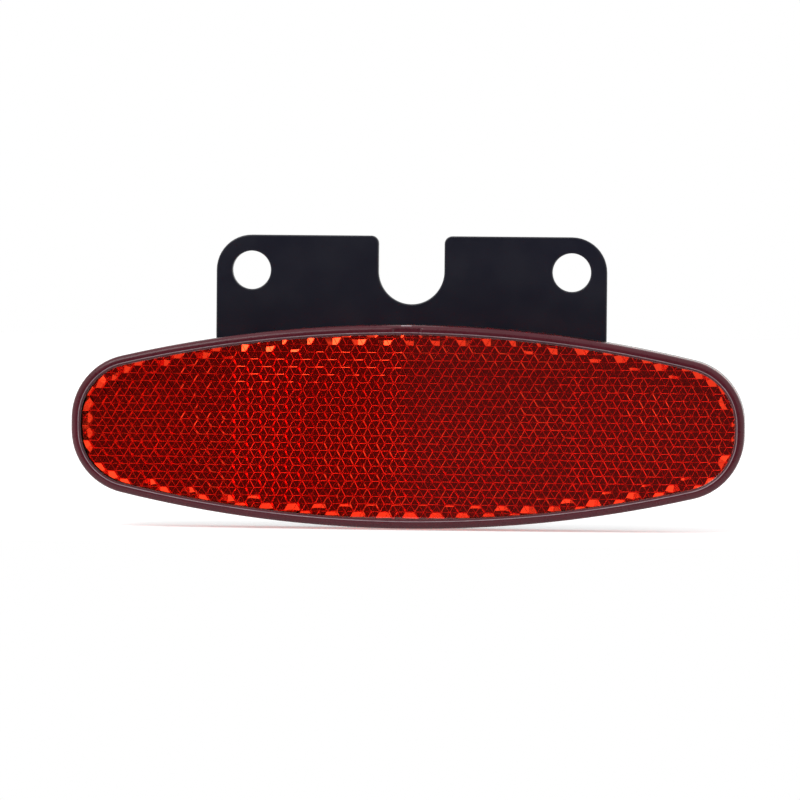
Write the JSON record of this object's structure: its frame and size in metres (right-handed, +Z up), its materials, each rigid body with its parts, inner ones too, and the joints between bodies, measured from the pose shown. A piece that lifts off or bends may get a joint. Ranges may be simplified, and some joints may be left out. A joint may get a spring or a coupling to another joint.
{
  "type": "rear reflector",
  "caption": "Wide oval red prism reflector on a flat black carrier bracket with mounting holes in one row and a round-bottomed notch.",
  "frame": {"origin": "midway between the two mounting holes, on the back face of the bracket", "axes": "+X along the hole row, to the right when looking at the lens; +Y out of the back, towards the rack; +Z up"},
  "size_m": [0.1044, 0.0172, 0.0452],
  "materials": {
    "red_lens": "clear red acrylic, polished face, fine prisms on its back",
    "black_plastic": "moulded black, fine texture",
    "black_steel": "smooth satin black coating",
    "zinc_steel": "bright zinc plating"
  },
  "bodies": {
    "root": {"lens": "red_lens", "housing": "black_plastic", "bracket": "black_steel", "studs": "zinc_steel", "washers": "zinc_steel", "nuts": "zinc_steel"}
  },
  "joints": []
}
